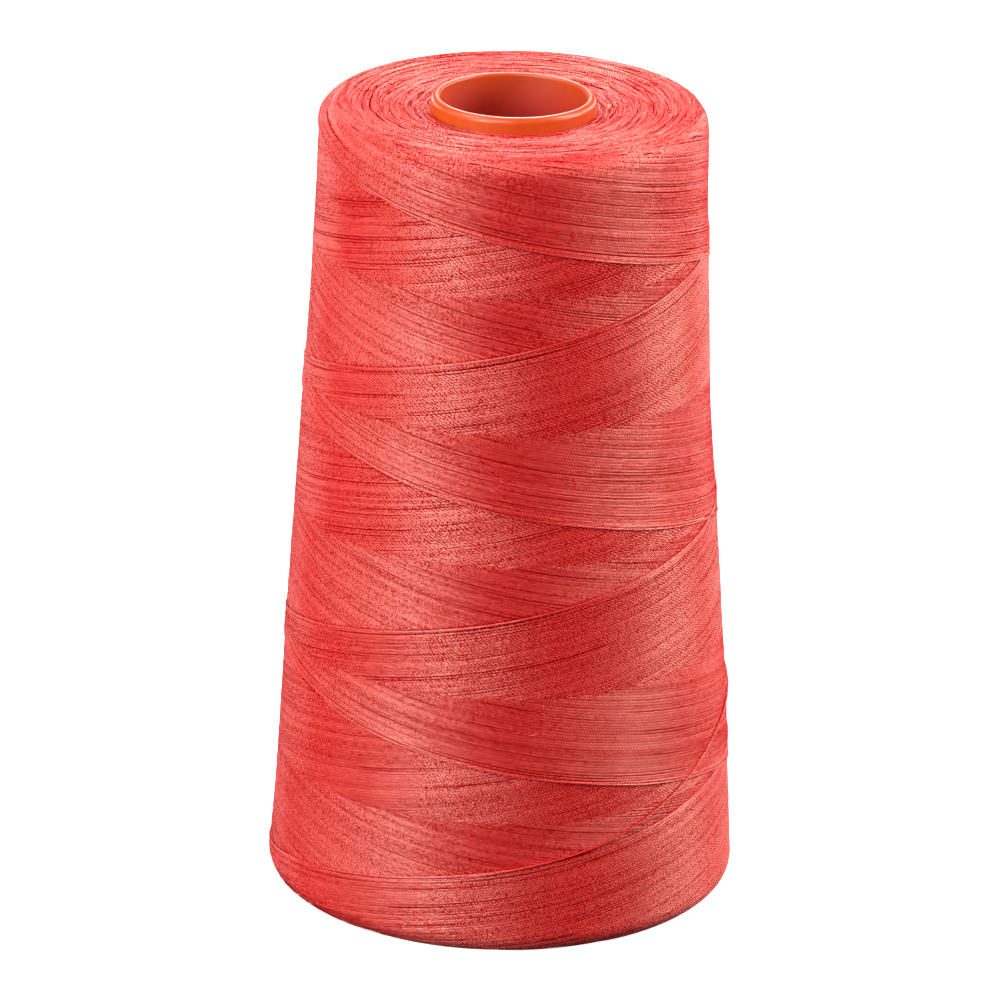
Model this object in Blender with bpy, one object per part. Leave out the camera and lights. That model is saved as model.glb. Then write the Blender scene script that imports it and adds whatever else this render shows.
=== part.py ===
"""A cone of sewing thread: a tapered plastic core with fine thread cross-wound on it.

Units are metres and +Z is up. The origin is on the axis, in the plane of the core's base rim,
which is what the cone stands on. Azimuths are measured from -Y, growing towards +X.

The thread runs up and down the cone about three turns each way. Each pass lies beside the last
one, so the newest up-going and down-going turns end in two helical leading edges, one turn high
each, that stand one layer proud of the older turns and cross each other every half turn.
"""

import math

import bmesh
import bpy

# The wound thread.
WOUND_HEIGHT = 0.125
WOUND_BASE_RADIUS = 0.03644
TAPER = math.radians(3.5)
TOP_SHOULDER = 0.0030
BASE_SHOULDER = 0.0025
TOP_DISH = 0.0012
BASE_DISH = 0.0008

# The core.
CORE_NOSE_RADIUS = 0.01255
CORE_WALL = 0.0014
CORE_ABOVE_WINDING = 0.0012
CORE_BELOW_WINDING = 0.0020
CORE_BASE_CHAMFER = 0.0002
SEAT_GAP = 0.0003

# The winding pattern. The leading edges cross on the first height at FIRST_CROSSING, on the
# next one half a turn round, and so on up the cone.
LAYER = 0.00030
CROSSING_HEIGHTS = (0.0024, 0.0214, 0.0414, 0.0620, 0.0826, 0.1036, 0.1240)
FIRST_CROSSING = math.radians(-105.75)
RISER = 0.00030
CROSSING_MARGIN = 0.00040

# How far the winding stands off a true cone, at the azimuths -90 and +90 degrees.
# Columns: height above the winding's base, at -90 degrees, at +90 degrees.
UNEVENNESS = (
    (0.000, 0.00000, 0.00010),
    (0.015, -0.00022, 0.00018),
    (0.030, -0.00010, 0.00038),
    (0.045, 0.00002, 0.00010),
    (0.060, 0.00002, -0.00015),
    (0.078, 0.00000, -0.00052),
    (0.095, -0.00008, -0.00018),
    (0.108, 0.00012, 0.00012),
    (0.122, 0.00042, 0.00062),
)

# Fineness of the faceted solids.
COLUMNS = 80
SHOULDER_STEPS = 4
FACE_STEPS = 4
LIP_STEPS = 6

FULL_TURN = 2 * math.pi
CORE_TOP = CORE_BELOW_WINDING + WOUND_HEIGHT + CORE_ABOVE_WINDING
TOP_SHOULDER_START = WOUND_HEIGHT - TOP_SHOULDER
TOP_SHOULDER_END = TOP_SHOULDER_START + TOP_SHOULDER * math.pi / 2
BASE_SHOULDER_END = BASE_SHOULDER - BASE_SHOULDER * math.pi / 2


def core_radius(height):
    """Outer radius of the core at a height above its base rim."""
    return CORE_NOSE_RADIUS + (CORE_TOP - height) * math.tan(TAPER)


def unevenness(height, azimuth):
    """Distance from the true cone, eased between the rows of UNEVENNESS and round the cone."""
    rows = zip(UNEVENNESS, UNEVENNESS[1:])
    lower, upper = next(((low, high) for low, high in rows if height <= high[0]), UNEVENNESS[-2:])
    share = min(max((height - lower[0]) / (upper[0] - lower[0]), 0), 1)
    share = share * share * (3 - 2 * share)
    left = lower[1] + (upper[1] - lower[1]) * share
    right = lower[2] + (upper[2] - lower[2]) * share
    return (left + right) / 2 + (right - left) / 2 * math.sin(azimuth)


def wound_section(path):
    """(radius, height, outward normal) of the smooth winding along its outline.

    path is the height above the winding's base on the side, and goes on as arc length round
    the two shoulders.
    """
    on_side = min(max(path, BASE_SHOULDER), TOP_SHOULDER_START)
    radius = WOUND_BASE_RADIUS - on_side * math.tan(TAPER)
    shoulder = TOP_SHOULDER if path > on_side else BASE_SHOULDER
    turned = (path - on_side) / shoulder
    radius -= shoulder * (1 - math.cos(turned))
    height = on_side + shoulder * math.sin(turned)
    return radius, height, (math.cos(turned), math.sin(turned))


def wound_point(path, azimuth, relief):
    """A point of the winding's outer skin, raised off the smooth outline by relief."""
    radius, height, (out, up) = wound_section(path)
    radius += relief * out + unevenness(height, azimuth)
    height += CORE_BELOW_WINDING + relief * up
    return radius * math.sin(azimuth), -radius * math.cos(azimuth), height


def past_crossing(azimuth, interval):
    """Angle from the crossing at the foot of this interval round to the azimuth."""
    return (azimuth - FIRST_CROSSING - interval * math.pi) % FULL_TURN


def side_column(azimuth):
    """(path, relief) of each point up the side at one azimuth.

    Between two crossing heights a column meets one leading edge. Below it lie up-going turns
    and above it down-going ones, and the relief is constant on either side of it.
    """
    column = []
    for interval, (low, high) in enumerate(zip(CROSSING_HEIGHTS, CROSSING_HEIGHTS[1:])):
        past = past_crossing(azimuth, interval)
        rising = past < math.pi
        share = past / math.pi if rising else 2 - past / math.pi
        below = LAYER * (1 - past / math.pi)
        above = below - LAYER if rising else below + LAYER
        edge = low + share * (high - low) - (0 if rising else RISER)
        edge = min(max(edge, low + CROSSING_MARGIN), high - CROSSING_MARGIN - RISER)
        column += [
            (low, below),
            ((low + edge) / 2, below),
            (edge, below),
            (edge + RISER, above),
            ((edge + RISER + high) / 2, above),
        ]
    return column


def shoulder_column(azimuth, end, interval, starts_on):
    """(path, relief) round a shoulder, the relief fading out where the face begins."""
    relief = LAYER * (1 - past_crossing(azimuth, interval) / math.pi)
    return [
        (starts_on + (end - starts_on) * step / SHOULDER_STEPS, relief * (1 - step / SHOULDER_STEPS))
        for step in range(SHOULDER_STEPS + 1)
    ]


def face_points(rim, azimuth, bore_radius, dish, outward):
    """Points across an end face from its rim to the bore, the face dished towards the middle."""
    x, y, z = rim
    rim_radius = math.hypot(x, y)
    points = []
    for step in range(1, FACE_STEPS + 1):
        share = step / FACE_STEPS
        radius = rim_radius + (bore_radius - rim_radius) * share
        height = z - outward * dish * share
        points.append((radius * math.sin(azimuth), -radius * math.cos(azimuth), height))
    return points


def wound_column(azimuth):
    """The whole outline of the winding at one azimuth, from the bore's foot round to its top."""
    base_shoulder = shoulder_column(azimuth, BASE_SHOULDER_END, 0, CROSSING_HEIGHTS[0])
    last = len(CROSSING_HEIGHTS) - 1
    top_shoulder = shoulder_column(azimuth, TOP_SHOULDER_END, last, CROSSING_HEIGHTS[-1])
    outline = base_shoulder[:0:-1] + side_column(azimuth) + top_shoulder
    skin = [wound_point(path, azimuth, relief) for path, relief in outline]
    base_bore = core_radius(CORE_BELOW_WINDING) + SEAT_GAP
    top_bore = core_radius(CORE_BELOW_WINDING + WOUND_HEIGHT) + SEAT_GAP
    base_face = face_points(skin[0], azimuth, base_bore, BASE_DISH, -1)
    top_face = face_points(skin[-1], azimuth, top_bore, TOP_DISH, 1)
    return base_face[::-1] + skin + top_face


def loop_of_columns(name, columns):
    """A closed solid whose outline goes round once at each column, the columns going round the axis."""
    shape = bmesh.new()
    rows = [[shape.verts.new(point) for point in column] for column in columns]
    for column, neighbour in zip(rows, rows[1:] + rows[:1]):
        for step in range(len(column)):
            after = (step + 1) % len(column)
            shape.faces.new((column[step], neighbour[step], neighbour[after], column[after]))
    bmesh.ops.recalc_face_normals(shape, faces=shape.faces)
    mesh = bpy.data.meshes.new(name)
    shape.to_mesh(mesh)
    shape.free()
    return mesh


def core_outline():
    """The core's section as (radius, height), down its outside and back up its inside."""
    lip = CORE_WALL / 2
    lip_height = CORE_TOP - lip
    middle = core_radius(lip_height) - lip
    crown = [
        (middle + lip * math.cos(turn), lip_height + lip * math.sin(turn))
        for turn in (math.pi * step / LIP_STEPS for step in range(LIP_STEPS + 1))
    ]
    outside = core_radius(0)
    inside = outside - CORE_WALL
    foot = [
        (inside, CORE_BASE_CHAMFER),
        (inside + CORE_BASE_CHAMFER, 0),
        (outside - CORE_BASE_CHAMFER, 0),
        (outside, CORE_BASE_CHAMFER),
    ]
    return (crown + foot)[::-1]


def turned(name, outline):
    """A ring turned round the axis from a closed outline, with a Screw modifier."""
    mesh = bpy.data.meshes.new(name)
    points = [(radius, 0, height) for radius, height in outline]
    edges = [(i, (i + 1) % len(points)) for i in range(len(points))]
    mesh.from_pydata(points, edges, [])
    ring = bpy.data.objects.new(name, mesh)
    screw = ring.modifiers.new("turned", "SCREW")
    screw.steps = screw.render_steps = COLUMNS
    screw.use_merge_vertices = True
    screw.merge_threshold = 0.00001
    screw.use_smooth_shade = True
    screw.use_normal_calculate = True
    return ring


def material(name, colour, roughness):
    finish = bpy.data.materials.new(name)
    finish.use_nodes = True
    surface = finish.node_tree.nodes["Principled BSDF"]
    surface.inputs["Base Color"].default_value = (*colour, 1)
    surface.inputs["Roughness"].default_value = roughness
    surface.inputs["Metallic"].default_value = 0
    return finish


def place(part, parent, finish):
    bpy.context.scene.collection.objects.link(part)
    part.parent = parent
    part.data.materials.append(finish)
    return part


def main():
    for old in list(bpy.data.objects):
        bpy.data.objects.remove(old)
    axis = bpy.data.objects.new("cone_axis", None)
    bpy.context.scene.collection.objects.link(axis)

    plastic = material("orange_plastic", (0.82, 0.10, 0.01), 0.35)
    place(turned("core", core_outline()), axis, plastic)

    azimuths = [FULL_TURN * step / COLUMNS for step in range(COLUMNS)]
    winding = loop_of_columns("wound_thread", [wound_column(azimuth) for azimuth in azimuths])
    cotton = material("coral_cotton", (0.75, 0.09, 0.08), 0.8)
    thread = place(bpy.data.objects.new("wound_thread", winding), axis, cotton)
    thread.data.shade_smooth()
    thread.data.set_sharp_from_angle(angle=math.radians(40))


main()
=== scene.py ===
"""A cone of coral sewing thread on an orange plastic core, dressed for its picture.

The thread is laid here turn by turn over the wound form of the CAD solid. Each pass up or down
the cone is a strand with a rounded crest, in bands that cross over and dive under each other as
the real turns do. Azimuths are measured from -Y, growing towards +X. A path is the distance up
the side from the winding's base, which goes on round the two shoulders and in over the end faces.
"""

import math

import bpy
import numpy as np
from mathutils import Matrix, Vector


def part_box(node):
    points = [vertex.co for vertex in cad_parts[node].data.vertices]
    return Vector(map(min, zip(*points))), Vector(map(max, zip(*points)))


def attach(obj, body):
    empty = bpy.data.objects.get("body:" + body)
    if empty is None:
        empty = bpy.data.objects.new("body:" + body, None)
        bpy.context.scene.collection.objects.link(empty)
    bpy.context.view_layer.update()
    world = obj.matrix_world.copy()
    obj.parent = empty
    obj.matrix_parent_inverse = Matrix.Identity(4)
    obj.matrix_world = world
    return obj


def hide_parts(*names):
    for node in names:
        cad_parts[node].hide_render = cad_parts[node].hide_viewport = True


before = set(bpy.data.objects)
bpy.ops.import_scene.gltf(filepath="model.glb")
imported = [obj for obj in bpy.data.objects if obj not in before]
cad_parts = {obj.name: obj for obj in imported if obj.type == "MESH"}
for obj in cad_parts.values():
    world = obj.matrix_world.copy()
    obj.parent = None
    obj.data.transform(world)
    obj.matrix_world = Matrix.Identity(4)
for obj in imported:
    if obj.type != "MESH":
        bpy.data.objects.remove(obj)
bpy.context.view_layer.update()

MM = 0.001
HALF_TURN = math.pi
FULL_TURN = 2 * math.pi

# The wound form, as the CAD solid has it, but for a thinner layer and a rounder base shoulder.
WOUND_HEIGHT = 125 * MM
WOUND_BASE_RADIUS = 36.44 * MM
TAPER = math.radians(3.5)
TOP_SHOULDER = 3.0 * MM
BASE_SHOULDER = 3.1 * MM
TOP_DISH = 1.2 * MM
BASE_DISH = 0.8 * MM
LAYER = 0.13 * MM
# The newest up-going and down-going turns cross at these paths, each half a turn further round.
CROSSINGS = (2.4 * MM, 21.4 * MM, 41.4 * MM, 62.0 * MM, 82.6 * MM, 103.6 * MM, 124.0 * MM)
FIRST_CROSSING = math.radians(-105.75)
# Columns: path, distance off the true cone at the azimuths -90 and +90 degrees, all in mm.
UNEVENNESS = np.array((
    (0, 0.00, 0.10),
    (15, -0.22, 0.18),
    (30, -0.10, 0.38),
    (45, 0.02, 0.10),
    (60, 0.02, -0.15),
    (78, 0.00, -0.52),
    (95, -0.08, -0.18),
    (108, 0.12, 0.12),
    (122, 0.42, 0.62),
)) * MM

# The core.
CORE_NOSE_RADIUS = 12.55 * MM
CORE_WALL = 1.4 * MM
CORE_NOSE_INNER = 0.45 * MM
CORE_CHAMFER = 0.2 * MM
CORE_SEGMENTS = 160
CORE_BELOW_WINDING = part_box("wound_thread")[0].z
CORE_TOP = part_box("core")[1].z

# A strand. Its crest stands above its edges, which are sunk into the layer below.
CREST = 0.036 * MM
SINK = 0.03 * MM
GROOVE_DEPTH = 0.12 * MM
STEP = 2.0 * MM
# How far a strand's plies may be shifted along it, in mm, so that no two look alike.
PLY_SHIFT = 20
# Sections of a strand: columns are how far across it, and how high.
HALF_ROUND = np.array([
    (math.sin(turn) / 0.876, (math.cos(turn) - 0.899) / 0.101)
    for turn in np.radians((-26, -18, -9, 0, 9, 18, 26))
])
FULL_ROUND = np.array((
    (-0.30, -0.9),
    (-0.46, -0.2),
    (-0.40, 0.5),
    (0.0, 1.0),
    (0.40, 0.5),
    (0.46, -0.2),
    (0.30, -0.9),
))

# The bands. Each turn comes out from under the other family and goes under it again. The turns
# climb by WIND_SLOPE degrees.
TURNS = 90
WIND_SLOPE = 11.5
CROSSING_STEP = HALF_TURN / TURNS
DIVE = 0.14 * MM
TUCK = math.radians(2.2)
CONTACT = math.radians(4.6)
# The span of azimuth over which painted shade comes on as a turn goes under the other family.
CONTACT_SHADE = math.radians(1.4)
WOBBLE = 0.2
PROUD = 0.05 * MM
SCATTER = 0.012 * MM
EDGE_FOOT = 0.15 * MM
# What varies along the turns of a band. Columns: degrees from one random value to the next,
# and how many turns side by side are alike.
BAND_WANDERS = (
    (28, 5),  # where a turn lies
    (25, 0),  # how open its grooves are
    (40, 0),  # how proud it stands
    (30, 0),  # how wide its grooves are
)

# The first and last bands, whose turns turn round at the ends of the cone.
TURN_ROUND = math.radians(70)
TURN_ROUND_REACH = 2.7 * MM
EVEN_SPREAD = (math.sqrt(5) - 1) / 2

# The newest turns. Columns: how far behind the leading edge, and how proud, in mm.
LEADING_TURNS = np.array(((-0.08, 0.03), (0.42, 0.0))) * MM
LEADING_HALF_WIDTH = 0.19 * MM
LEADING_CREST = 0.09 * MM

# The very last turn. Columns: azimuth in degrees, path in mm.
LAST_TURN = np.array((
    (-14, 11.9),
    (3, 14.1),
    (18, 15.9),
    (33, 18.3),
    (55, 23.8),
    (71.5, 28.6),
    (90, 31.6),
    (140, 38.0),
    (200, 44.6),
    (224, 47.0),
))
LAST_TURN_RADIUS = 0.2 * MM
LAST_TURN_LIFT = 0.26 * MM
LAST_TURN_TUCK = 0.75 * MM

# The end faces: rings of turn-rounds, and on the top short arcs over them.
RING_PITCH = 0.42 * MM
RING_LIFT = -0.1 * MM
ARC_COUNT = 1000
ARC_DEGREES = (16, 55)
ARC_DRIFT = 0.9 * MM
ARC_LIFT = 0.14 * MM
ARC_DIVE = 0.30 * MM
ARC_HALF_WIDTH = 0.2 * MM

# Lint. Pairs are the least and the most, in mm, and the bend is in radians either way.
LINT_SEED = 700
LINT_COUNT = 160
LINT_PATHS = (4, 122)
LINT_SHORT = (0.25, 0.7)
LINT_LONG = (0.8, 2.2)
LINT_THICK = (0.022, 0.04)
LINT_BEND = 2.6
# The lint that shows in the photograph. Columns: azimuth in degrees, path in mm.
SEEN_LINT = ((24.5, 24.0), (-63.0, 105.0))

# Colours, each a pair that a pattern goes between.
BRIGHT_CORAL = (0.84, 0.006, 0.008, 1), (0.96, 0.036, 0.038, 1)
# Painted shade between the fibres, darker still in grooves and under other turns.
SHADED_CORAL = (0.44, 0.004, 0.005, 1), (0.30, 0.0, 0.001, 1)
# Painted shade: the older turns down in the gaps, darker than those on top.
SHADED_INSIDE_CORAL = (0.36, 0.0, 0.001, 1), (0.48, 0.003, 0.004, 1)
PALE_FIBRE = (0.92, 0.16, 0.13, 1), (0.95, 0.5, 0.42, 1)
ORANGE = (0.50, 0.064, 0.006, 1), (0.56, 0.080, 0.008, 1)
# Painted shade deep in the bore.
BORE_SHADE_ORANGE = (0.42, 0.009, 0.003, 1)

# The cotton's grain: the length of a ply's twist in mm, and how strongly each pattern brightens
# it. A grain below DULL_GRAIN shows wholly the painted shade between the fibres, and one above it
# by 1 is wholly bright.
PLY_MM = 0.50
PLY_GRAIN = 1.2
FLECK_GRAIN = 3.4
MOTTLE_GRAIN = 0.3
STRAND_GRAIN = 0.5
DULL_GRAIN = 2.22
GRAIN_HEIGHT = 0.025 * MM
# How strongly the painted shade in grooves and under other turns darkens the cotton.
GROOVE_SHADE = 1.6

# The studio. A wholly warm light loses these shares of its red, green and blue.
LIGHT_DISTANCE = 0.9
LIGHT_SIZE = 0.2
WARM_LOSS = (0.0, 0.20, 0.23)
SURROUND = 0.1
FLOOR_REACH = 4.0
# Each softbox: azimuth and elevation in degrees, watts, and how warm it is.
SOFTBOXES = {
    "high_left": (-90, 60, 2.1, 0.0),
    "key": (-52, 46, 1.2, 0.0),
    "left": (-97, 20, 0.8, 0.0),
    "side_left": (-82, 40, 1.2, 0.0),
    "low_left": (-60, 10, 0.8, 0.0),
    "front_low": (-48, 20, 1.8, 0.0),
    "front": (-38, 22, 2.4, 0.0),
    "front_high": (-28, 45, 1.1, 0.2),
    "front_top": (-18, 50, 1.1, 0.4),
    "front_fill": (-15, 30, 0.8, 0.4),
    "high_right": (100, 50, 3.3, 0.6),
    "right_front": (80, 22, 1.7, 1.0),
    "right": (90, 28, 2.2, 1.0),
    "right_low": (100, 20, 3.2, 1.0),
    "right_rim": (125, 18, 1.9, 1.0),
    "back_right": (138, 3, 1.4, 0.7),
    "far_right": (152, 3, 1.1, 0.5),
    "back": (180, 35, 4.0, 0.5),
    "back_high": (180, 45, 0.5, 0.0),
    "back_left": (-152, 3, 1.1, 0.0),
    "left_rim": (-130, 4, 1.1, 0.0),
}

# The photograph's view: the camera's distance, its elevation and its roll in degrees, and how
# far the middle of the cone is from the middle of the frame, in pixels of the photograph.
CAMERA_DISTANCE = 1.001
CAMERA_ELEVATION = 20.51
CAMERA_ROLL = 1.108
FOCAL_PX = 6481.8
OFF_CENTRE_PX = (6.21, 10.27)
FRAME_PX = 1000

BODY = "root"
THREAD_SLOT = "coral_thread"
CORE_SLOT = "orange_plastic"


# ---------------------------------------------------------------- the wound surface


def smoothly(share):
    share = np.clip(share, 0, 1)
    return share * share * (3 - 2 * share)


def side_radius(path):
    return WOUND_BASE_RADIUS - path * math.tan(TAPER)


def core_radius(height):
    return CORE_NOSE_RADIUS + (CORE_TOP - height) * math.tan(TAPER)


TOP_BORE = core_radius(CORE_BELOW_WINDING + WOUND_HEIGHT)
BASE_BORE = core_radius(CORE_BELOW_WINDING)

# Paths: where the top shoulder begins, where each shoulder meets its face, and where each face
# meets the bore.
TOP_START = WOUND_HEIGHT - TOP_SHOULDER
TOP_RIM = TOP_START + TOP_SHOULDER * HALF_TURN / 2
BASE_RIM = BASE_SHOULDER - BASE_SHOULDER * HALF_TURN / 2
TOP_IN = TOP_RIM + side_radius(TOP_START) - TOP_SHOULDER - TOP_BORE
BASE_IN = BASE_RIM - (side_radius(BASE_SHOULDER) - BASE_SHOULDER - BASE_BORE)


def unevenness(path, azimuth):
    """Distance off the true cone, eased between the rows of the table and round the cone."""
    rows = UNEVENNESS[:, 0]
    lower = np.clip(np.searchsorted(rows, path, "right") - 1, 0, len(rows) - 2)
    share = smoothly((path - rows[lower]) / (rows[lower + 1] - rows[lower]))
    left, right = (
        column[lower] + (column[lower + 1] - column[lower]) * share
        for column in (UNEVENNESS[:, 1], UNEVENNESS[:, 2])
    )
    return (left + right) / 2 + (right - left) / 2 * np.sin(azimuth)


def skin(path, azimuth, lift):
    """Points over the winding, lift off its surface, as an array whose last axis is x, y, z."""
    path, azimuth, lift = np.broadcast_arrays(path, azimuth, lift)
    on_side = np.clip(path, BASE_SHOULDER, TOP_START)
    beyond = path - on_side
    over_top = beyond > 0
    shoulder = np.where(over_top, TOP_SHOULDER, BASE_SHOULDER)
    turned = np.clip(beyond / shoulder, -HALF_TURN / 2, HALF_TURN / 2)
    in_over_face = np.abs(beyond - turned * shoulder)
    rim = side_radius(on_side) - shoulder
    bore = np.where(over_top, TOP_BORE, BASE_BORE)
    inward = np.clip(in_over_face / (rim - bore), 0, 1)
    dish = np.where(over_top, -TOP_DISH, BASE_DISH) * inward
    radius = side_radius(on_side) - shoulder * (1 - np.cos(turned)) - in_over_face
    radius = radius + lift * np.cos(turned) + unevenness(on_side, azimuth) * (1 - inward)
    height = CORE_BELOW_WINDING + on_side + (shoulder + lift) * np.sin(turned) + dish
    return np.stack((radius * np.sin(azimuth), -radius * np.cos(azimuth), height), -1)


class Wander:
    """Random values, one row each, that vary smoothly with the azimuth along their row."""

    def __init__(self, seed, rows, spacing, alike=0):
        self.start = -2 * FULL_TURN
        self.spacing = math.radians(spacing)
        knots = int(6 * FULL_TURN / self.spacing) + 2
        self.values = np.random.default_rng(seed).standard_normal((rows, knots))
        if alike:
            blend = np.hanning(alike + 2)[1:-1]
            blend /= np.sqrt((blend**2).sum())
            self.values = np.apply_along_axis(np.convolve, 0, self.values, blend, "same")

    def at(self, row, azimuth):
        place = (azimuth - self.start) / self.spacing
        knot = place.astype(int)
        share = smoothly(place - knot)
        return self.values[row, knot] * (1 - share) + self.values[row, knot + 1] * share


# ---------------------------------------------------------------- strands and meshes


def meshed(name, points, faces):
    """A smooth mesh object in the scene, from arrays of points and of quads."""
    mesh = bpy.data.meshes.new(name)
    mesh.from_pydata(points.reshape(-1, 3).tolist(), [], faces.tolist())
    mesh.shade_smooth()
    piece = bpy.data.objects.new(name, mesh)
    bpy.context.scene.collection.objects.link(piece)
    return piece


def grid_faces(columns, rows):
    """The quads of a grid of points, facing out when columns go round and rows go up."""
    corner = np.arange(columns - 1)[:, None] * rows + np.arange(rows - 1)
    return np.stack((corner, corner + rows, corner + rows + 1, corner + 1), -1).reshape(-1, 4)


def closed_faces(columns, rows):
    """The quads of a grid of points that closes on itself both ways."""
    column = np.arange(columns)[:, None]
    here, there = column * rows, (column + 1) % columns * rows
    row, after = np.arange(rows), (np.arange(rows) + 1) % rows
    return np.stack((here + row, there + row, there + after, here + after), -1).reshape(-1, 4)


def strand(azimuth, low, high, lift, gaps, *, shade, phase=0.0, feet=(0, 0), crest=CREST, deep=0):
    """One laid strand, between the paths low and high at each azimuth.

    gaps says how far the groove at each side is open, which sinks that side and darkens it with
    painted shade, feet how far each side reaches down, and deep how much painted shade the strand
    takes where it is down among its neighbours. shade and phase are its own brightness, which the
    newest turns raise as a painted highlight, and the start of its plies.
    """
    n = len(azimuth)
    return {
        "azimuth": azimuth,
        "low": np.broadcast_to(low, n),
        "high": np.broadcast_to(high, n),
        "lift": np.broadcast_to(lift, n),
        "gaps": [np.broadcast_to(gap, n) for gap in gaps],
        "feet": feet,
        "crest": np.broadcast_to(crest, n),
        "deep": np.broadcast_to(deep, n),
        "shade": shade,
        "phase": phase,
    }


def laid(name, strands, section=HALF_ROUND):
    """A mesh object of many strands, which carries what their finish reads.

    The UV map strand says how far along and across its strand a point is, and groove and shade
    are values at the points: groove is painted shade, where a groove is open and where a strand is
    down among others, and shade is each strand's own brightness, raised on the newest turns as a
    painted highlight. OFBake is the winding's skin unrolled.
    """
    across, rise = section.T
    rows = len(section)
    side = np.abs(across * 2) ** 4
    points, faces, strand_places, unrolled, groove_shades, shades = [], [], [], [], [], []
    count = 0
    for s in strands:
        n = len(s["azimuth"])
        azimuth = np.repeat(s["azimuth"][:, None], rows, 1)
        path = s["low"][:, None] + (s["high"] - s["low"])[:, None] * (across + 0.5)
        gap = np.where(across < 0, s["gaps"][0][:, None], s["gaps"][1][:, None]) * side
        lift = s["lift"][:, None] + s["crest"][:, None] * rise - SINK - GROOVE_DEPTH * gap
        lift[:, 0] -= s["feet"][0]
        lift[:, -1] -= s["feet"][1]
        place = skin(path, azimuth, lift)
        middle = place[:, rows // 2]
        along = s["azimuth"] * np.hypot(middle[:, 0], middle[:, 1]) / MM + s["phase"]
        along_across = np.stack(np.broadcast_arrays(along[:, None], across + 0.5), -1)
        points.append(place.reshape(-1, 3))
        faces.append(grid_faces(n, rows) + count)
        strand_places.append(along_across.reshape(-1, 2))
        unrolled.append(np.stack((azimuth, path), -1).reshape(-1, 2))
        # Painted shade for the finish: the open grooves, and where the strand is down among others.
        groove_shades.append(np.maximum(gap, s["deep"][:, None]).ravel())
        shades.append(np.full(n * rows, s["shade"]))
        count += n * rows
    faces = np.concatenate(faces)
    piece = meshed(name, np.concatenate(points), faces)
    unrolled = np.concatenate(unrolled)
    unrolled = (unrolled - unrolled.min(0)) / np.ptp(unrolled, axis=0)
    corners = faces.ravel()
    for map_name, places in (("OFBake", unrolled), ("strand", np.concatenate(strand_places))):
        layer = piece.data.uv_layers.new(name=map_name)
        layer.uv.foreach_set("vector", places[corners].astype(np.float32).ravel())
    for value_name, values in (("groove", groove_shades), ("shade", shades)):
        attribute = piece.data.attributes.new(value_name, "FLOAT", "POINT")
        attribute.data.foreach_set("value", np.concatenate(values).astype(np.float32))
    return piece


def stations(first, last, radius=33 * MM):
    """Evenly spaced azimuths from first to last, about STEP apart along the surface."""
    return np.linspace(first, last, max(int((last - first) * radius / STEP) + 1, 2))


# ---------------------------------------------------------------- the cross-wound bands


def in_order(emerging, first, last):
    """A strand's azimuths: where it comes out, an even run from first, and where it goes under."""
    run = stations(first, last - CONTACT) if first < last - CONTACT else ()
    going_under = last + np.radians((-3.0, -2.3, -1.4, 0.0))
    azimuth = np.unique(np.concatenate((emerging, run, going_under)))
    return azimuth[azimuth <= last]


def coming_out(crossing, last, span):
    """(azimuth, inward, dive) of a turn that comes out from under the other family."""
    emerging = crossing + CROSSING_STEP * np.array((-2.2, -1.3, -0.6, 0.0, 0.7))
    azimuth = in_order(emerging, crossing + 1.6 * CROSSING_STEP, last)
    inward = span / HALF_TURN * (azimuth - crossing)
    dive = DIVE * (1 - smoothly((azimuth - crossing) / CROSSING_STEP / 1.7 + 0.65))
    return azimuth, inward, dive


def turning_round(i, crossing, last, span):
    """(azimuth, inward, dive) of a turn that turns round over the end of the cone.

    The turns appear at places spread over the whole turn-round, so that none lie in a row.
    """
    lead = TURN_ROUND / 2 + TURN_ROUND_REACH / span * HALF_TURN
    first = crossing - lead + TURN_ROUND * ((i * EVEN_SPREAD) % 1)
    emerging = first + CROSSING_STEP * np.array((0, 0.8))
    azimuth = in_order(emerging, first + 1.8 * CROSSING_STEP, last)
    turned = azimuth - crossing + lead
    eased = np.where(turned < TURN_ROUND, turned**2 / (2 * TURN_ROUND), turned - TURN_ROUND / 2)
    inward = span / HALF_TURN * eased - TURN_ROUND_REACH
    dive = DIVE * (1 - smoothly((azimuth - first) / (2.5 * CROSSING_STEP)))
    return azimuth, inward, dive


def groove_open(wander, row, azimuth):
    """How open the groove above a turn is, from 0 to 1. The newest turns lie the loosest."""
    always = 0.2
    newest = 1.2 * (row < 2)
    older = 0.6 * smoothly(row / 14)
    softness = 0.7
    return smoothly((wander.at(row, azimuth) + newest + always - older) / softness)


def groove_width(wander, row, azimuth):
    """The share of the half pitch that a turn gives up where its groove is open."""
    narrow, wider = 0.06, 0.26
    seldom = 1.0
    older = smoothly(row / 20)
    softness = 0.5
    return narrow + wider * smoothly((wander.at(row, azimuth) - seldom - older) / softness)


def groove_depth(row):
    """How deep the groove above a turn is, from 0.1 to 1, with no order among neighbours."""
    return 0.55 + 0.45 * math.sin(7.1 * row)


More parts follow.
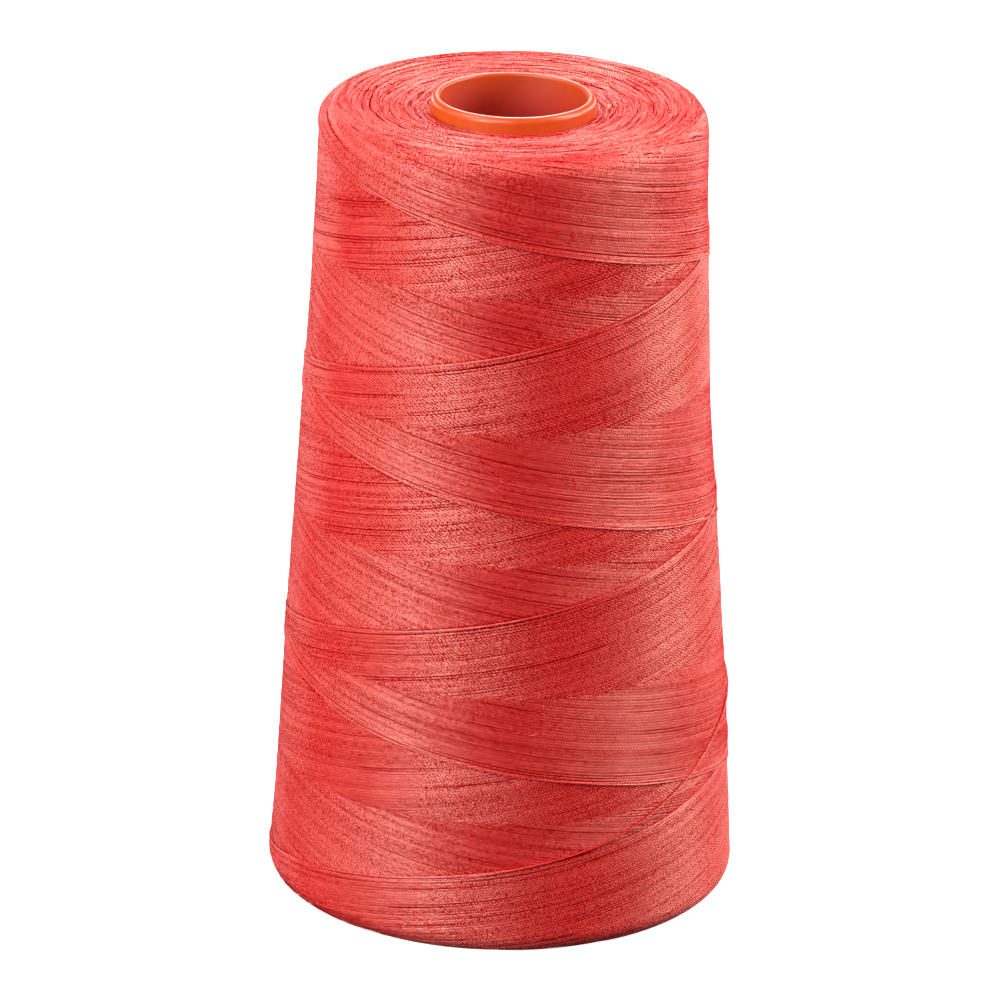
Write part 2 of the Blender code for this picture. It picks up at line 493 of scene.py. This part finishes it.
def band(interval, rising):
    """The strands of one band: those that show between two crossings, going one way.

    inward is how far a strand has gone past the crossing where it comes out from under the
    other family. Each strand is older than the one before, and ends under the newest turns of
    the other family.
    """
    below, above = CROSSINGS[interval : interval + 2]
    span = above - below
    half_pitch = span / TURNS
    start = FIRST_CROSSING + HALF_TURN * (interval if rising else interval + 1)
    turns_round = interval == (0 if rising else len(CROSSINGS) - 2)
    seed = 100 * interval + 7 * rising
    random = np.random.default_rng(seed)
    wobble, groove, proud, parted = (
        Wander(seed + number, TURNS + 1, spacing, alike)
        for number, (spacing, alike) in enumerate(BAND_WANDERS, 1)
    )
    strands = []
    for i in range(TURNS):
        age = (i + 0.5) / TURNS
        crossing = start + FULL_TURN * age
        last = crossing + HALF_TURN * (1 - age) + TUCK
        if turns_round:
            azimuth, inward, dive = turning_round(i, crossing, last, span)
        else:
            azimuth, inward, dive = coming_out(crossing, last, span)
        relief = LAYER * (1 - 2 * age - np.maximum(inward / span, -0.15))
        raised = PROUD * smoothly(proud.at(i, azimuth) - 0.6) + SCATTER * random.standard_normal()
        open_above, open_below = (groove_open(groove, row, azimuth) for row in (i, i + 1))
        wide_above, wide_below = (groove_width(parted, row, azimuth) for row in (i, i + 1))
        stray_above, stray_below = (WOBBLE * wobble.at(row, azimuth) for row in (i, i + 1))
        high = inward + half_pitch * (1 - wide_above * open_above + stray_above)
        low = inward - half_pitch * (1 - wide_below * open_below - stray_below)
        # How open each groove is. An open groove sinks the turn's side and darkens it with painted
        # shade.
        gaps = (open_below * groove_depth(i + 1), open_above * groove_depth(i))
        feet = (0, LAYER + EDGE_FOOT if i == 0 else 0)
        if rising:
            paths = (below + low, below + high)
        else:
            paths = (above - high, above - low)
            gaps, feet = gaps[::-1], feet[::-1]
        # Painted shade where the turn comes out from under the other family, and where it goes under
        # it again.
        shade_coming_out = 0.3 * smoothly(dive / DIVE)
        going_under = smoothly((azimuth - last + TUCK) / CONTACT_SHADE + 1)
        strands.append(strand(
            azimuth,
            *paths,
            relief + raised - dive,
            gaps,
            shade=random.random(),
            phase=PLY_SHIFT * random.random(),
            feet=feet,
            deep=np.maximum(shade_coming_out, going_under),
        ))
    return strands


def leading_edge(rising):
    """The newest turns of one family, which lie proud along the whole of its leading edge."""
    seed = 900 + rising
    random = np.random.default_rng(seed)
    wander = Wander(seed, 3, 20)
    backwards = -1 if rising else 1
    azimuth_at = FIRST_CROSSING + HALF_TURN * np.arange(len(CROSSINGS))
    azimuth = stations(azimuth_at[0], azimuth_at[-1])
    edge = np.interp(azimuth, azimuth_at, CROSSINGS if rising else CROSSINGS[::-1])
    share = ((azimuth - FIRST_CROSSING) / HALF_TURN) % 1
    strands = []
    for j, (back, lift) in enumerate(LEADING_TURNS):
        relief = LAYER * (1 - share) * smoothly(share * 30) + lift
        relief -= 0.25 * MM * smoothly(wander.at(j, azimuth) * 0.8 + 0.5 * j - 0.5)
        path = edge + backwards * (back + 0.10 * MM * wander.at((j + 1) % 3, azimuth))
        # The newest turns are painted lighter than the rest, a painted highlight where they stand
        # proud, and their sides are sunk and darkened with painted shade.
        strands.append(strand(
            azimuth,
            path - LEADING_HALF_WIDTH,
            path + LEADING_HALF_WIDTH,
            relief,
            (0.4, 0.4),
            shade=1.2 + 0.4 * random.random(),
            phase=PLY_SHIFT * random.random(),
            crest=LEADING_CREST,
        ))
    return strands


def last_turn():
    """The very last turn, from where it leaves its band to where it tucks under, round the back."""
    azimuth = stations(*np.radians(LAST_TURN[[0, -1], 0]), 18 * MM)
    knots = np.radians(LAST_TURN[:, 0])
    window = np.radians(np.linspace(-9, 9, 13))
    weight = np.hanning(15)[1:-1] / np.hanning(15).sum()
    path = sum(
        share * np.interp(azimuth + shift, knots, LAST_TURN[:, 1] * MM)
        for shift, share in zip(window, weight)
    )
    share = (azimuth - azimuth[0]) / np.ptp(azimuth)
    tucked = 1 - smoothly(share * 25) * smoothly((1 - share) * 30)
    # Its sides are sunk and darkened with painted shade, the lower one more, and it is as light as the
    # lightest band turns, a painted highlight.
    return strand(
        azimuth,
        path - LAST_TURN_RADIUS,
        path + LAST_TURN_RADIUS,
        LAST_TURN_LIFT - LAST_TURN_TUCK * tucked,
        (1.2, 0.5),
        shade=1.0,
        crest=LAST_TURN_RADIUS,
    )


def lint():
    """Short stray fibres that stand a little off the winding, as thin three-sided curls."""
    random = np.random.default_rng(LINT_SEED)
    share = np.linspace(0, 1, 7)
    sides = np.radians((90, 210, 330))
    rows = len(sides)
    start = np.arange(len(share) - 1)[:, None] * rows
    corner, after = start + np.arange(rows), start + (np.arange(rows) + 1) % rows
    tube = np.stack((corner, corner + rows, after + rows, after), -1).reshape(-1, 4)
    points, faces = [], []
    for i in range(LINT_COUNT):
        at, height = random.uniform(0, FULL_TURN), random.uniform(*LINT_PATHS) * MM
        if i < len(SEEN_LINT):
            at, height = math.radians(SEEN_LINT[i][0]), SEEN_LINT[i][1] * MM
        length = random.uniform(*(LINT_SHORT if i % 4 else LINT_LONG)) * MM
        heading, bend = random.uniform(0, FULL_TURN), random.uniform(-LINT_BEND, LINT_BEND)
        thick = random.uniform(*LINT_THICK) * MM * smoothly(0.25 + 4 * share * (1 - share))
        turn = heading + bend * (share - 0.5)
        radius = side_radius(height)
        sideways = np.cumsum(np.cos(turn)) * length / len(share)
        up = np.cumsum(np.sin(turn)) * length / len(share)
        lift = (0.10 + 0.16 * np.sin(share * HALF_TURN) * random.random()) * MM
        ring = np.stack([
            skin(height + up + thick * math.cos(a), at + sideways / radius, lift + thick * math.sin(a))
            for a in sides
        ], 1)
        faces.append(tube + i * len(share) * rows)
        points.append(ring.reshape(-1, 3))
    return meshed("lint", np.concatenate(points), np.concatenate(faces))


# ---------------------------------------------------------------- the end faces


def face_rings(seed, first, last):
    """Rings of turn-rounds, one beside the other, from one path to another."""
    rings = int(abs(last - first) / RING_PITCH)
    random = np.random.default_rng(seed)
    wobble = Wander(seed + 1, rings + 1, 18, alike=3)
    groove = Wander(seed + 2, rings + 1, 9)
    azimuth = np.linspace(0, FULL_TURN, 121)
    closed = azimuth % FULL_TURN
    strands = []
    for i in range(rings):
        paths, gaps = [], []
        for edge, way in ((i, 1), (i + 1, -1)):
            gap = smoothly(groove.at(edge, closed) / 0.8)
            centre = first + (last - first) * edge / rings
            paths.append(centre + RING_PITCH * (0.2 * wobble.at(edge, closed) + 0.16 * way * gap))
            gaps.append(gap)
        # The open grooves between rings are sunk and darkened with painted shade.
        strands.append(strand(
            azimuth,
            *paths,
            RING_LIFT,
            gaps,
            shade=random.random(),
            phase=PLY_SHIFT * random.random(),
        ))
    return strands


def face_arcs(seed, first, last):
    """Turn-rounds that come over from under their neighbours, drift inwards or out, and go under."""
    random = np.random.default_rng(seed)
    strands = []
    for _ in range(ARC_COUNT):
        length = math.radians(random.uniform(*ARC_DEGREES))
        start = random.uniform(0, FULL_TURN)
        path = first + (last - first) * random.random()
        drift = random.uniform(-ARC_DRIFT, ARC_DRIFT)
        azimuth = stations(start, start + length, 24 * MM)
        share = (azimuth - start) / length
        centre = path + drift * (share - 0.5)
        ends = smoothly(share * 4) * smoothly((1 - share) * 4)
        lift = random.uniform(0.0, ARC_LIFT) - ARC_DIVE * (1 - ends)
        # Short open grooves along each arc, sunk and darkened with painted shade.
        dashes = [
            1.3 * random.random() * np.exp(-((share - random.random()) / 0.3) ** 2)
            for _ in range(2)
        ]
        # Painted shade where the arc's ends dive under its neighbours.
        strands.append(strand(
            azimuth,
            centre - ARC_HALF_WIDTH,
            centre + ARC_HALF_WIDTH,
            lift,
            dashes,
            shade=random.random(),
            phase=PLY_SHIFT * random.random(),
            deep=0.7 * (1 - ends),
        ))
    return strands


# ---------------------------------------------------------------- turned pieces


def turned(name, outline):
    """A closed ring turned round the axis from (radius, height) points that go anticlockwise."""
    radius, height = np.array(outline).T
    azimuth = np.arange(CORE_SEGMENTS)[:, None] * FULL_TURN / CORE_SEGMENTS
    places = (radius * np.sin(azimuth), -radius * np.cos(azimuth), height)
    points = np.stack(np.broadcast_arrays(*places), -1)
    return meshed(name, points, closed_faces(CORE_SEGMENTS, len(outline)))


def inner_layers():
    """The body of older turns, just under those that are laid one by one."""
    depth = -LAYER - SINK - 0.1 * MM
    path = np.concatenate((
        np.linspace(BASE_IN, BASE_RIM, 5)[:-1],
        np.linspace(BASE_RIM, BASE_SHOULDER, 6)[:-1],
        np.linspace(BASE_SHOULDER, TOP_START, 60)[:-1],
        np.linspace(TOP_START, TOP_RIM, 6)[:-1],
        np.linspace(TOP_RIM, TOP_IN, 5),
    ))
    azimuth = np.linspace(0, FULL_TURN, 97)[:-1, None]
    points = skin(path, azimuth, depth)
    return meshed("inner_layers", points, closed_faces(len(azimuth), len(path)))


def core():
    """The moulded core: a tapered tube with a rounded nose and an eased base rim."""
    outer = CORE_WALL - CORE_NOSE_INNER
    middle = core_radius(CORE_TOP) - outer
    nose = [
        (middle + outer * math.cos(turn), CORE_TOP + outer * (math.sin(turn) - 1))
        for turn in np.linspace(0, HALF_TURN / 2, 9)
    ]
    nose += [
        (middle + CORE_NOSE_INNER * math.cos(turn), CORE_TOP + CORE_NOSE_INNER * (math.sin(turn) - 1))
        for turn in np.linspace(HALF_TURN / 2, HALF_TURN, 6)[1:]
    ]
    outside = core_radius(0)
    inside = outside - CORE_WALL
    foot = [
        (inside, CORE_CHAMFER),
        (inside + CORE_CHAMFER, 0),
        (outside - CORE_CHAMFER, 0),
        (outside, CORE_CHAMFER),
    ]
    return turned("tapered_core", nose + foot)


# ---------------------------------------------------------------- finishes


class Socket:
    """A value inside a finish. Arithmetic on it adds the Math nodes."""

    def __init__(self, finish, output):
        self.finish = finish
        self.output = output

    def math(self, operation, *values):
        return self.finish.node("ShaderNodeMath", {"operation": operation}, dict(enumerate(values)))

    def __add__(self, other):
        return self.math("ADD", self, other)

    def __sub__(self, other):
        return self.math("SUBTRACT", self, other)

    def __rsub__(self, other):
        return self.math("SUBTRACT", other, self)

    def __mul__(self, other):
        return self.math("MULTIPLY", self, other)

    def __truediv__(self, other):
        return self.math("DIVIDE", self, other)

    def __pow__(self, other):
        return self.math("POWER", self, other)

    __radd__ = __add__
    __rmul__ = __mul__

    def sine(self):
        return self.math("SINE", self)

    def held(self):
        """The value held between 0 and 1."""
        return self.math("MINIMUM", self.math("MAXIMUM", self, 0.0), 1.0)


class Finish:
    """A material of one Principled surface, or of two that show in patches.

    What is the same all over a surface is set on its sockets, and shows() feeds what varies.
    """

    def __init__(self, name, **constants):
        self.material = bpy.data.materials.new(name)
        self.material.use_nodes = True
        self.tree = self.material.node_tree
        self.surface = self.tree.nodes["Principled BSDF"]
        self.set_constants(constants)

    def set_constants(self, constants):
        for socket, value in constants.items():
            self.surface.inputs[socket.replace("_", " ")].default_value = value

    def begin_second(self, share, **constants):
        """Begins a second surface, which shows instead of the first by share."""
        first = Socket(self, self.surface.outputs[0])
        self.surface = self.tree.nodes.new("ShaderNodeBsdfPrincipled")
        self.set_constants(constants)
        second = Socket(self, self.surface.outputs[0])
        both = self.node("ShaderNodeMixShader", {}, {0: share, 1: first, 2: second})
        self.feed(self.tree.nodes["Material Output"].inputs["Surface"], both)

    def node(self, kind, settings, sockets, output=0):
        made = self.tree.nodes.new(kind)
        for name, value in settings.items():
            setattr(made, name, value)
        for name, value in sockets.items():
            self.feed(made.inputs[name], value)
        return Socket(self, made.outputs[output])

    def feed(self, target, value):
        if isinstance(value, Socket):
            self.tree.links.new(value.output, target)
        else:
            target.default_value = value

    def shows(self, socket, value):
        self.feed(self.surface.inputs[socket], value)

    def place(self):
        return self.node("ShaderNodeTexCoord", {}, {}, "Object")

    def attribute(self, name):
        return self.node("ShaderNodeAttribute", {"attribute_name": name}, {}, "Fac")

    def parts(self, vector):
        """The x, y and z of a vector."""
        x = self.node("ShaderNodeSeparateXYZ", {}, {0: vector}, "X")
        return [Socket(self, output) for output in x.output.node.outputs]

    def vector(self, operation, values, output="Vector"):
        settings = {"operation": operation}
        return self.node("ShaderNodeVectorMath", settings, dict(enumerate(values)), output)

    def mixed(self, factor, first, second):
        settings = {"data_type": "RGBA"}
        return self.node("ShaderNodeMix", settings, {0: factor, 6: first, 7: second}, 2)

    def noise(self, scale, detail, place):
        sockets = {"Scale": scale, "Detail": detail, "Vector": place}
        return self.node("ShaderNodeTexNoise", {}, sockets, "Fac")

    def bump(self, height, distance):
        return self.node("ShaderNodeBump", {}, {"Height": height, "Distance": distance}, "Normal")


def cotton(name, slope=0.0):
    """Spun cotton, dyed coral: bright plied fibres, and painted shade, dark red, between them.

    Its sheen spreads across the fibres, which climb by slope degrees as they go round.
    """
    lay = {"Anisotropic": 0.95, "Anisotropic_Rotation": 0.25 + slope / 360}
    finish = Finish(
        name,
        IOR=1.95,
        Specular_IOR_Level=1.0,
        Specular_Tint=(1.0, 0.94, 0.80, 1),
        Roughness=0.40,
        **lay,
    )
    place = finish.place()
    mottle = finish.noise(90.0, 3.0, place)
    fleck = finish.noise(5200.0, 0.0, place)
    along, across, _ = finish.parts(finish.node("ShaderNodeUVMap", {"uv_map": "strand"}, {}, "UV"))
    slow = finish.noise(1.0, 0.0, finish.node("ShaderNodeCombineXYZ", {}, {0: along * 0.25, 1: 0.0}))
    twist = along * (FULL_TURN / PLY_MM) + across * (1.2 * FULL_TURN) + slow * 9
    ply = twist.sine() * 0.5 + 0.5
    groove = finish.attribute("groove")
    shade = finish.attribute("shade")
    grain = ply * PLY_GRAIN + fleck * FLECK_GRAIN + mottle * MOTTLE_GRAIN + shade * STRAND_GRAIN
    bright = (grain - DULL_GRAIN).held()
    normal = finish.bump(bright, GRAIN_HEIGHT)
    finish.shows("Base Color", finish.mixed(bright, *BRIGHT_CORAL))
    finish.shows("Normal", normal)
    # Painted shade: where the grain is low, in open grooves and under other turns, a second surface,
    # matte and darker red, shows instead.
    shaded_share = (1 - bright + groove * GROOVE_SHADE).held()
    finish.begin_second(shaded_share, Roughness=0.55, Specular_IOR_Level=0.0, **lay)
    finish.shows("Base Color", finish.mixed(groove.held(), *SHADED_CORAL))
    finish.shows("Normal", normal)
    return finish.material


def shaded_cotton():
    """The older turns down in the gaps, darker with painted shade, and with no gloss."""
    finish = Finish("coral_cotton_in_shade", Roughness=0.9, Specular_IOR_Level=0.0)
    mottle = finish.noise(900.0, 2.0, finish.place())
    finish.shows("Base Color", finish.mixed(mottle, *SHADED_INSIDE_CORAL))
    return finish.material


def pale_fibre():
    finish = Finish("pale_fibre", Roughness=0.5)
    mottle = finish.noise(900.0, 1.0, finish.place())
    finish.shows("Base Color", finish.mixed(mottle, *PALE_FIBRE))
    return finish.material


def plastic():
    """Glossy orange plastic, with painted shade down inside the bore: darker and redder, and rougher.
    """
    finish = Finish(
        "moulded_orange",
        Subsurface_Weight=0.25,
        Subsurface_Radius=(1.0, 0.35, 0.12),
        Subsurface_Scale=0.0015,
    )
    place = finish.place()
    speckle = finish.noise(700.0, 2.0, place)
    off_axis = finish.vector("MULTIPLY", (place, (1, 1, 0)))
    radius = finish.vector("LENGTH", (off_axis,), "Value")
    depth = CORE_TOP - finish.parts(place)[2]
    wall_middle = depth * math.tan(TAPER) + (CORE_NOSE_RADIUS - 0.75 * CORE_WALL)
    inside = ((wall_middle - radius) / (0.3 * MM)).held()
    # Painted shade: darker and redder with depth inside the bore, which is also rougher there.
    bore_shade = inside * (depth / (7 * MM)).held() ** 0.5
    orange = finish.mixed(speckle, *ORANGE)
    finish.shows("Base Color", finish.mixed(bore_shade, orange, BORE_SHADE_ORANGE))
    finish.shows("Roughness", 0.24 + speckle * 0.14 + bore_shade * 0.4)
    return finish.material


# ---------------------------------------------------------------- dressing the part


def dress(piece, material, slot, *nodes):
    piece.data.materials.append(material)
    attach(piece, BODY)
    if nodes:
        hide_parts(*nodes)
    return piece


def dress_thread():
    thread = cotton("coral_cotton")
    for rising, way, slope in ((True, "rising", WIND_SLOPE), (False, "falling", -WIND_SLOPE)):
        sloping = cotton(f"coral_cotton_{way}", slope=slope)
        for interval in range(len(CROSSINGS) - 1):
            turns = laid(f"{way}_turns_{interval + 1}", band(interval, rising))
            dress(turns, sloping, THREAD_SLOT)
    newest = leading_edge(True) + leading_edge(False) + [last_turn()]
    dress(laid("leading_turns", newest, FULL_ROUND), thread, THREAD_SLOT)
    dress(lint(), pale_fibre(), THREAD_SLOT)
    top_rings = face_rings(501, TOP_START - 1.0 * MM, TOP_IN - 0.05 * MM)
    top_arcs = face_arcs(511, TOP_RIM - 2.0 * MM, TOP_IN - 0.25 * MM)
    base_rings = face_rings(521, BASE_IN + 0.4 * MM, BASE_SHOULDER + 1.0 * MM)
    dress(laid("top_rings", top_rings), thread, THREAD_SLOT)
    dress(laid("top_turn_rounds", top_arcs), thread, THREAD_SLOT)
    dress(laid("base_rings", base_rings), thread, THREAD_SLOT)
    dress(inner_layers(), shaded_cotton(), THREAD_SLOT, "wound_thread")


# ---------------------------------------------------------------- floor, lights and camera


def floor():
    """The plain pale floor. It takes no part in what the cone reflects."""
    corners = np.array(((-1, -1, 0), (1, -1, 0), (1, 1, 0), (-1, 1, 0))) * FLOOR_REACH
    piece = meshed("floor", corners, np.arange(4)[None])
    finish = Finish(
        "pale_floor",
        Base_Color=(0.92, 0.92, 0.92, 1),
        Roughness=1.0,
        Emission_Color=(1, 1, 1, 1),
        Emission_Strength=1.0,
    )
    piece.data.materials.append(finish.material)
    piece.visible_diffuse = False
    piece.visible_glossy = False


def towards(azimuth, elevation):
    """The unit vector from the cone towards an azimuth and elevation in degrees."""
    a, e = math.radians(azimuth), math.radians(elevation)
    return Vector((math.sin(a) * math.cos(e), -math.cos(a) * math.cos(e), math.sin(e)))


def softbox(name, azimuth, elevation, watts, warmth):
    light = bpy.data.lights.new(name, "AREA")
    light.size = LIGHT_SIZE
    light.energy = watts
    light.color = [1 - loss * warmth for loss in WARM_LOSS]
    lamp = bpy.data.objects.new(name, light)
    way = towards(azimuth, elevation)
    lamp.location = Vector((0, 0, WOUND_HEIGHT / 2)) + way * LIGHT_DISTANCE
    lamp.rotation_euler = way.to_track_quat("Z", "Y").to_euler()
    bpy.context.scene.collection.objects.link(lamp)


def lights():
    for name, setting in SOFTBOXES.items():
        softbox(name, *setting)
    world = bpy.data.worlds.new("studio")
    world.use_nodes = True
    surround = world.node_tree.nodes["Background"]
    surround.inputs["Color"].default_value = (1, 1, 1, 1)
    surround.inputs["Strength"].default_value = SURROUND
    bpy.context.scene.world = world


def camera():
    """The photograph's view: 1 m off, 20.5 degrees above, turned a little about its own axis."""
    elevation, roll = math.radians(CAMERA_ELEVATION), math.radians(CAMERA_ROLL)
    ahead = Vector((0, math.cos(elevation), -math.sin(elevation)))
    level_right = Vector((1, 0, 0))
    level_up = level_right.cross(ahead)
    right = level_right * math.cos(roll) + level_up * math.sin(roll)
    up = level_up * math.cos(roll) - level_right * math.sin(roll)
    middle = Vector((0, 0, CORE_BELOW_WINDING + WOUND_HEIGHT / 2))
    place = middle - ahead * CAMERA_DISTANCE
    off_centre = right * OFF_CENTRE_PX[0] + up * OFF_CENTRE_PX[1]
    target = middle - off_centre * CAMERA_DISTANCE / FOCAL_PX
    ahead = (target - place).normalized()
    up = right.cross(ahead)
    right = ahead.cross(up)
    lens = bpy.data.cameras.new("camera")
    lens.sensor_width = 36
    lens.lens = FOCAL_PX * lens.sensor_width / FRAME_PX
    lens.clip_start = 0.05
    holder = bpy.data.objects.new("camera", lens)
    axes = Matrix((right, up, -ahead)).transposed().to_4x4()
    holder.matrix_world = Matrix.Translation(place) @ axes
    bpy.context.scene.collection.objects.link(holder)
    bpy.context.scene.camera = holder


def main():
    camera()
    dress_thread()
    dress(core(), plastic(), CORE_SLOT, "core")
    floor()
    lights()
    bpy.context.scene.view_settings.view_transform = "Standard"


main()
